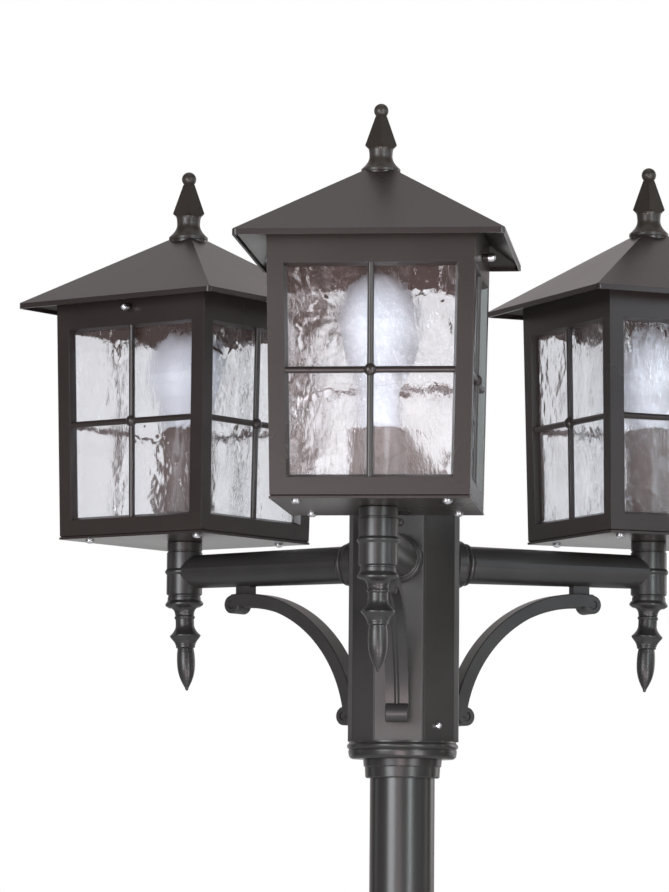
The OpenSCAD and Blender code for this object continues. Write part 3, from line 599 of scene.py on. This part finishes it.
class LAMPPOST_OT_lamps(Operator):
    """Finishes the lamps, their sockets and the covers round their holders"""

    bl_idname = "lamppost.lamps"
    bl_label = "Finish the lamps"

    def execute(self, context):
        settings = context.scene.lamppost_lamps
        lamp, socket = lamp_finish(settings), glazed_ceramic(settings)
        # Drawn tube under a coat of a paler, browner tone than the frames': painted warm light, as the cover
        # shows through the glass.
        coat = context.scene.lamppost_coat
        cover = powder_coat(
            "thin coat on drawn tube",
            coat,
            settings.cover,
            coat.roughness,
            peel_depth=0.02 * MM,
            broad=30 * MM,
        )
        for side in SIDES:
            dress(f"lamp_{side}", lamp)
            dress(f"lamp_socket_{side}", socket)
            dress(f"lamp_cover_{side}", cover)
        return {"FINISHED"}


def plated(name, colour, roughness, scratch):
    """Bright plated or machined metal with fine turning marks."""
    material, tree = blank(name)
    place = add(tree, "ShaderNodeTexCoord").outputs["Object"]
    marks = add(tree, "ShaderNodeTexNoise", {"Scale": 1 / scratch, "Detail": 3.0}, {"Vector": place})
    rough = add(
        tree,
        "ShaderNodeMapRange",
        {"To Min": roughness * 0.6, "To Max": roughness * 1.4},
        {"Value": marks.outputs["Fac"]},
    )
    tint = add(
        tree,
        "ShaderNodeMix",
        {"data_type": "RGBA", 6: rgba([c * 0.85 for c in colour]), 7: rgba(colour)},
        {0: marks.outputs["Fac"]},
    )
    shader = add(
        tree,
        "ShaderNodeBsdfPrincipled",
        {"Metallic": 1.0},
        {"Base Color": tint.outputs[2], "Roughness": rough.outputs[0]},
    )
    add(tree, "ShaderNodeOutputMaterial", links={"Surface": shader.outputs[0]})
    return material


def screw_head(width, height, slot, neck, neck_width):
    """A domed head on the XY plane, its slot along X, on a round neck below it."""
    bm = bmesh.new()
    dome = height - RIM_SHARE * height
    radius = (width * width / 4 + dome * dome) / (2 * dome)
    reach = math.asin(min(1, width / 2 / radius))
    outline = [Vector((0, 0, height))]
    for i in range(1, DOME_STEPS + 1):
        a = reach * i / DOME_STEPS
        outline.append(Vector((radius * math.sin(a), 0, height - radius * (1 - math.cos(a)))))
    # The neck meets the head at no less than half its width.
    outline += [Vector((width / 2, 0, 0)), Vector((max(neck_width / 2, width / 4), 0, 0))]
    outline += [Vector((neck_width / 2, 0, -neck)), Vector((0, 0, -neck))]
    verts = [bm.verts.new(co) for co in outline]
    for a, b in zip(verts, verts[1:]):
        bm.edges.new((a, b))
    bmesh.ops.spin(
        bm,
        geom=bm.verts[:] + bm.edges[:],
        axis=(0, 0, 1),
        cent=(0, 0, 0),
        angle=math.tau,
        steps=TURN_STEPS,
        use_merge=True,
    )
    bmesh.ops.remove_doubles(bm, verts=bm.verts, dist=0.01 * MM)
    bmesh.ops.recalc_face_normals(bm, faces=bm.faces)
    # The head is cut along both sides of the slot, and its middle strip pressed down to the slot's floor.
    for y in (slot / 2, slot / 2 + SLOT_WALL, -slot / 2, -slot / 2 - SLOT_WALL):
        geom = bm.verts[:] + bm.edges[:] + bm.faces[:]
        bmesh.ops.bisect_plane(bm, geom=geom, plane_co=(0, y, 0), plane_no=(0, 1, 0), dist=1e-7)
    floor = height - min(SLOT_SHARE * height, SLOT_DEPTH)
    for v in bm.verts:
        if abs(v.co.y) <= slot / 2 + 0.01 * MM and v.co.z > floor:
            v.co.z = floor
    for face in bm.faces:
        face.material_index = int(face.calc_center_median().z < 0)
    return bm


def lay_out(source, places, name, materials, node):
    """One piece with a copy of the source at each place, on the place of its CAD node.

    The second material is that of the faces below the head.
    """
    bm = bmesh.new()
    mesh = bpy.data.meshes.new(name + "_one")
    source.to_mesh(mesh)
    source.free()
    for place in places:
        before = len(bm.verts)
        bm.from_mesh(mesh)
        bm.verts.ensure_lookup_table()
        bmesh.ops.transform(bm, matrix=place, verts=bm.verts[before:])
    bpy.data.meshes.remove(mesh)
    obj = finished(bm, name, materials[0])
    obj.data.materials.append(materials[1])
    obj.data.set_sharp_from_angle(angle=math.radians(35))
    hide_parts(node)


class LAMPPOST_OT_fixings(Operator):
    """Puts in the slotted screws and finishes the threaded nipples"""

    bl_idname = "lamppost.fixings"
    bl_label = "Fit the screws"

    def execute(self, context):
        settings = context.scene.lamppost_screws
        # Bright zinc-plated steel: small mirrors with a slightly clouded polish.
        steel = plated("zinc-plated steel", settings.steel, roughness=0.28, scratch=0.6 * MM)
        # Machined brass: warm, with a turned surface.
        brass = plated("machined brass", settings.brass, roughness=0.28, scratch=0.4 * MM)
        dress("conduit_nipples", brass)
        coat = bpy.data.materials["satin coat on rolled sheet"]
        dress("plate_screws", coat)
        down = Matrix.Rotation(math.pi, 4, "X")
        corners = [(x, y) for x in (-1, 1) for y in (-1, 1)]
        # Each screw's slot has come to rest at its own angle.
        places = [
            lantern_place(k)
            @ Matrix.Translation((x * settings.spread, y * settings.spread, FLOOR_LOW))
            @ Matrix.Rotation(0.21 * ((5 * i + 3 * k) % 7 - 3), 4, "Z")
            @ down
            for k in range(len(SIDES))
            for i, (x, y) in enumerate(corners)
        ]
        head = screw_head(settings.floor_head, FLOOR_HEAD_HEIGHT, settings.slot, NECK, FLOOR_NECK_WIDTH)
        lay_out(head, places, "slotted_floor_screws", (steel, steel), "floor_screws")
        low, high, _ = node_box("roof_screws")
        places = [
            lantern_place(k)
            @ Matrix.Rotation(math.pi * y, 4, "Z")
            @ Matrix.Translation((0, -settings.seat - settings.collar, (low.z + high.z) / 2))
            @ Matrix.Rotation(math.pi / 2, 4, "X")
            @ Matrix.Rotation(0.5 * k - 0.3, 4, "Z")
            for k in range(len(SIDES))
            for y in (0, 1)
        ]
        collar_width = settings.roof_head - 1 * MM
        head = screw_head(settings.roof_head, ROOF_HEAD_HEIGHT, settings.slot, settings.collar, collar_width)
        # The collars take the dark coat: painted shade for the dark that the chrome collars reflect.
        lay_out(head, places, "slotted_roof_screws", (steel, coat), "roof_screws")
        # The grub screws sit in the column's right front face and in the one behind.
        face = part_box("head_column")[1].y
        low, high, _ = node_box("grub_screws")
        places = [
            arm_turn(k)
            @ Matrix.Translation((-face, settings.shift, (low.z + high.z) / 2))
            @ Matrix.Rotation(-math.pi / 2, 4, "Y")
            @ Matrix.Rotation(0.35, 4, "Z")
            for k in (0, 2)
        ]
        head = screw_head(settings.grub_head, GRUB_HEAD_HEIGHT, settings.slot, NECK, GRUB_NECK_WIDTH)
        lay_out(head, places, "slotted_grub_screws", (steel, steel), "grub_screws")
        return {"FINISHED"}


def look(right, up, back, place):
    """The matrix of a camera with these axes at this place."""
    return Matrix.Translation(place) @ Matrix((right, up, back)).transposed().to_4x4()


def soft_box(name, azimuth, elevation, distance, size, level, colour):
    """A soft box that lights the post. Azimuth 0 is in front, and grows to the camera's right."""
    light = bpy.data.lights.new(name, "AREA")
    light.shape = "RECTANGLE"
    light.size, light.size_y = size
    light.energy = level * size[0] * size[1]
    light.color = linear(colour)
    obj = bpy.data.objects.new(name, light)
    bpy.context.scene.collection.objects.link(obj)
    a, e = math.radians(azimuth), math.radians(elevation)
    way = Vector((math.sin(a) * math.cos(e), -math.cos(a) * math.cos(e), math.sin(e)))
    obj.location = AIM + way * distance
    obj.rotation_euler = way.to_track_quat("Z", "Y").to_euler()
    obj.visible_camera = False


def studio_world(settings):
    """White to the camera; to gloss pale behind, dark at the sides and dim in front.

    Through glass it is white straight behind and falls off to the sides, as a lit backdrop does.
    """
    world = bpy.data.worlds.new("studio")
    bpy.context.scene.world = world
    world.use_nodes = True
    tree = world.node_tree
    tree.nodes.clear()
    view = add(tree, "ShaderNodeTexCoord").outputs["Generated"]
    way = add(tree, "ShaderNodeSeparateXYZ", links={0: view}).outputs

    def step(source, start, end):
        limits = {"interpolation_type": "SMOOTHSTEP", "From Min": start, "From Max": end}
        return add(tree, "ShaderNodeMapRange", limits, {"Value": source}).outputs[0]

    def blend(factor, first, second):
        values = {"data_type": "RGBA"}
        links = {0: factor}
        for socket, value in ((6, first), (7, second)):
            (values if isinstance(value, tuple) else links)[socket] = value
        return add(tree, "ShaderNodeMix", values, links).outputs[2]

    front = blend(step(way[1], -0.1, 0.3), rgba(settings.front), BLACK)
    # Low down behind, the lit floor runs on as white.
    behind = blend(step(way[2], -0.08, -0.03), WHITE, rgba(settings.back))
    # The white behind reaches further round the higher it stands.
    tilted = add(tree, "ShaderNodeMath", {"operation": "MULTIPLY_ADD", 1: 0.29}, {0: way[2], 2: way[1]})
    gloss = blend(step(tilted.outputs[0], 0.4, 0.85), front, behind)
    through = blend(step(way[1], 0.8, 0.95), (0.75, 0.74, 0.75, 1), WHITE)
    rays = add(tree, "ShaderNodeLightPath").outputs
    shown = blend(rays["Is Glossy Ray"], rgba(settings.fill), gloss)
    shown = blend(rays["Is Transmission Ray"], shown, through)
    shown = blend(rays["Is Camera Ray"], shown, WHITE)
    back = add(tree, "ShaderNodeBackground", {"Strength": 1.0}, {"Color": shown})
    add(tree, "ShaderNodeOutputWorld", links={"Surface": back.outputs[0]})


def floor_finish(settings):
    """Matt, nearly white studio floor with faint clouds a third of a metre wide."""
    material, tree = blank("matt studio floor")
    place = add(tree, "ShaderNodeTexCoord").outputs["Object"]
    grain = add(tree, "ShaderNodeTexNoise", {"Scale": 3.0, "Detail": 2.0}, {"Vector": place})
    tint = add(
        tree,
        "ShaderNodeMix",
        {"data_type": "RGBA", 6: rgba([c * 0.98 for c in settings.floor]), 7: rgba(settings.floor)},
        {0: grain.outputs["Fac"]},
    )
    shader = add(
        tree,
        "ShaderNodeBsdfPrincipled",
        {"Roughness": 0.9, "Specular IOR Level": 0.1},
        {"Base Color": tint.outputs[2]},
    )
    add(tree, "ShaderNodeOutputMaterial", links={"Surface": shader.outputs[0]})
    return material


class LAMPPOST_OT_stage(Operator):
    """Sets the floor, the soft boxes, the white background and the camera"""

    bl_idname = "lamppost.stage"
    bl_label = "Set the studio"

    def execute(self, context):
        settings = context.scene.lamppost_stage
        scene = context.scene
        bm = bmesh.new()
        bmesh.ops.create_circle(bm, cap_ends=True, segments=settings.sides, radius=settings.radius)
        mesh = bpy.data.meshes.new("studio_floor")
        bm.to_mesh(mesh)
        bm.free()
        floor = bpy.data.objects.new("studio_floor", mesh)
        mesh.materials.append(floor_finish(settings))
        scene.collection.objects.link(floor)
        for name, azimuth, elevation, distance, size, level, colour in SOFT_BOXES:
            soft_box(name, azimuth, elevation, distance, size, level * settings.level, colour)
        studio_world(settings)
        yaw, pitch, roll = CAMERA_YAW, CAMERA_PITCH, CAMERA_ROLL
        ahead = Vector((math.sin(yaw) * math.cos(pitch), math.cos(yaw) * math.cos(pitch), math.sin(pitch)))
        level_right = Vector((math.cos(yaw), -math.sin(yaw), 0))
        level_up = level_right.cross(ahead)
        right = math.cos(roll) * level_right + math.sin(roll) * level_up
        up = -math.sin(roll) * level_right + math.cos(roll) * level_up
        camera = bpy.data.cameras.new("camera")
        camera.lens, camera.sensor_width = CAMERA_LENS, CAMERA_SENSOR
        camera.clip_start, camera.clip_end = 0.1, 100
        obj = bpy.data.objects.new("camera", camera)
        scene.collection.objects.link(obj)
        obj.matrix_world = look(right, up, -ahead, CAMERA_PLACE)
        scene.camera = obj
        scene.view_settings.view_transform = "Standard"
        return {"FINISHED"}


class LAMPPOST_PT_sidebar(Panel):
    """Lists the steps that dress the post, and their settings"""

    bl_label = "Lamp Post"
    bl_idname = "LAMPPOST_PT_sidebar"
    bl_space_type = "VIEW_3D"
    bl_region_type = "UI"
    bl_category = "Lamp Post"

    def draw(self, context):
        for cls, group in STEPS:
            box = self.layout.box()
            box.operator(cls.bl_idname)
            settings = getattr(context.scene, group)
            for name in settings.__annotations__:
                box.prop(settings, name)


STEPS = (
    (LAMPPOST_OT_coat, "lamppost_coat"),
    (LAMPPOST_OT_glaze, "lamppost_glass"),
    (LAMPPOST_OT_lamps, "lamppost_lamps"),
    (LAMPPOST_OT_fixings, "lamppost_screws"),
    (LAMPPOST_OT_stage, "lamppost_stage"),
)
GROUPS = (CoatSettings, GlassSettings, LampSettings, ScrewSettings, StageSettings)


def register():
    for cls in GROUPS + tuple(step for step, _ in STEPS) + (LAMPPOST_PT_sidebar,):
        bpy.utils.register_class(cls)
    for group, (_, name) in zip(GROUPS, STEPS):
        setattr(bpy.types.Scene, name, PointerProperty(type=group))


def unregister():
    for _, name in STEPS:
        delattr(bpy.types.Scene, name)
    for cls in (LAMPPOST_PT_sidebar,) + tuple(step for step, _ in STEPS)[::-1] + GROUPS[::-1]:
        bpy.utils.unregister_class(cls)


def main():
    register()
    for step, _ in STEPS:
        area, verb = step.bl_idname.split(".")
        getattr(getattr(bpy.ops, area), verb)()


if __name__ == "__main__":
    main()
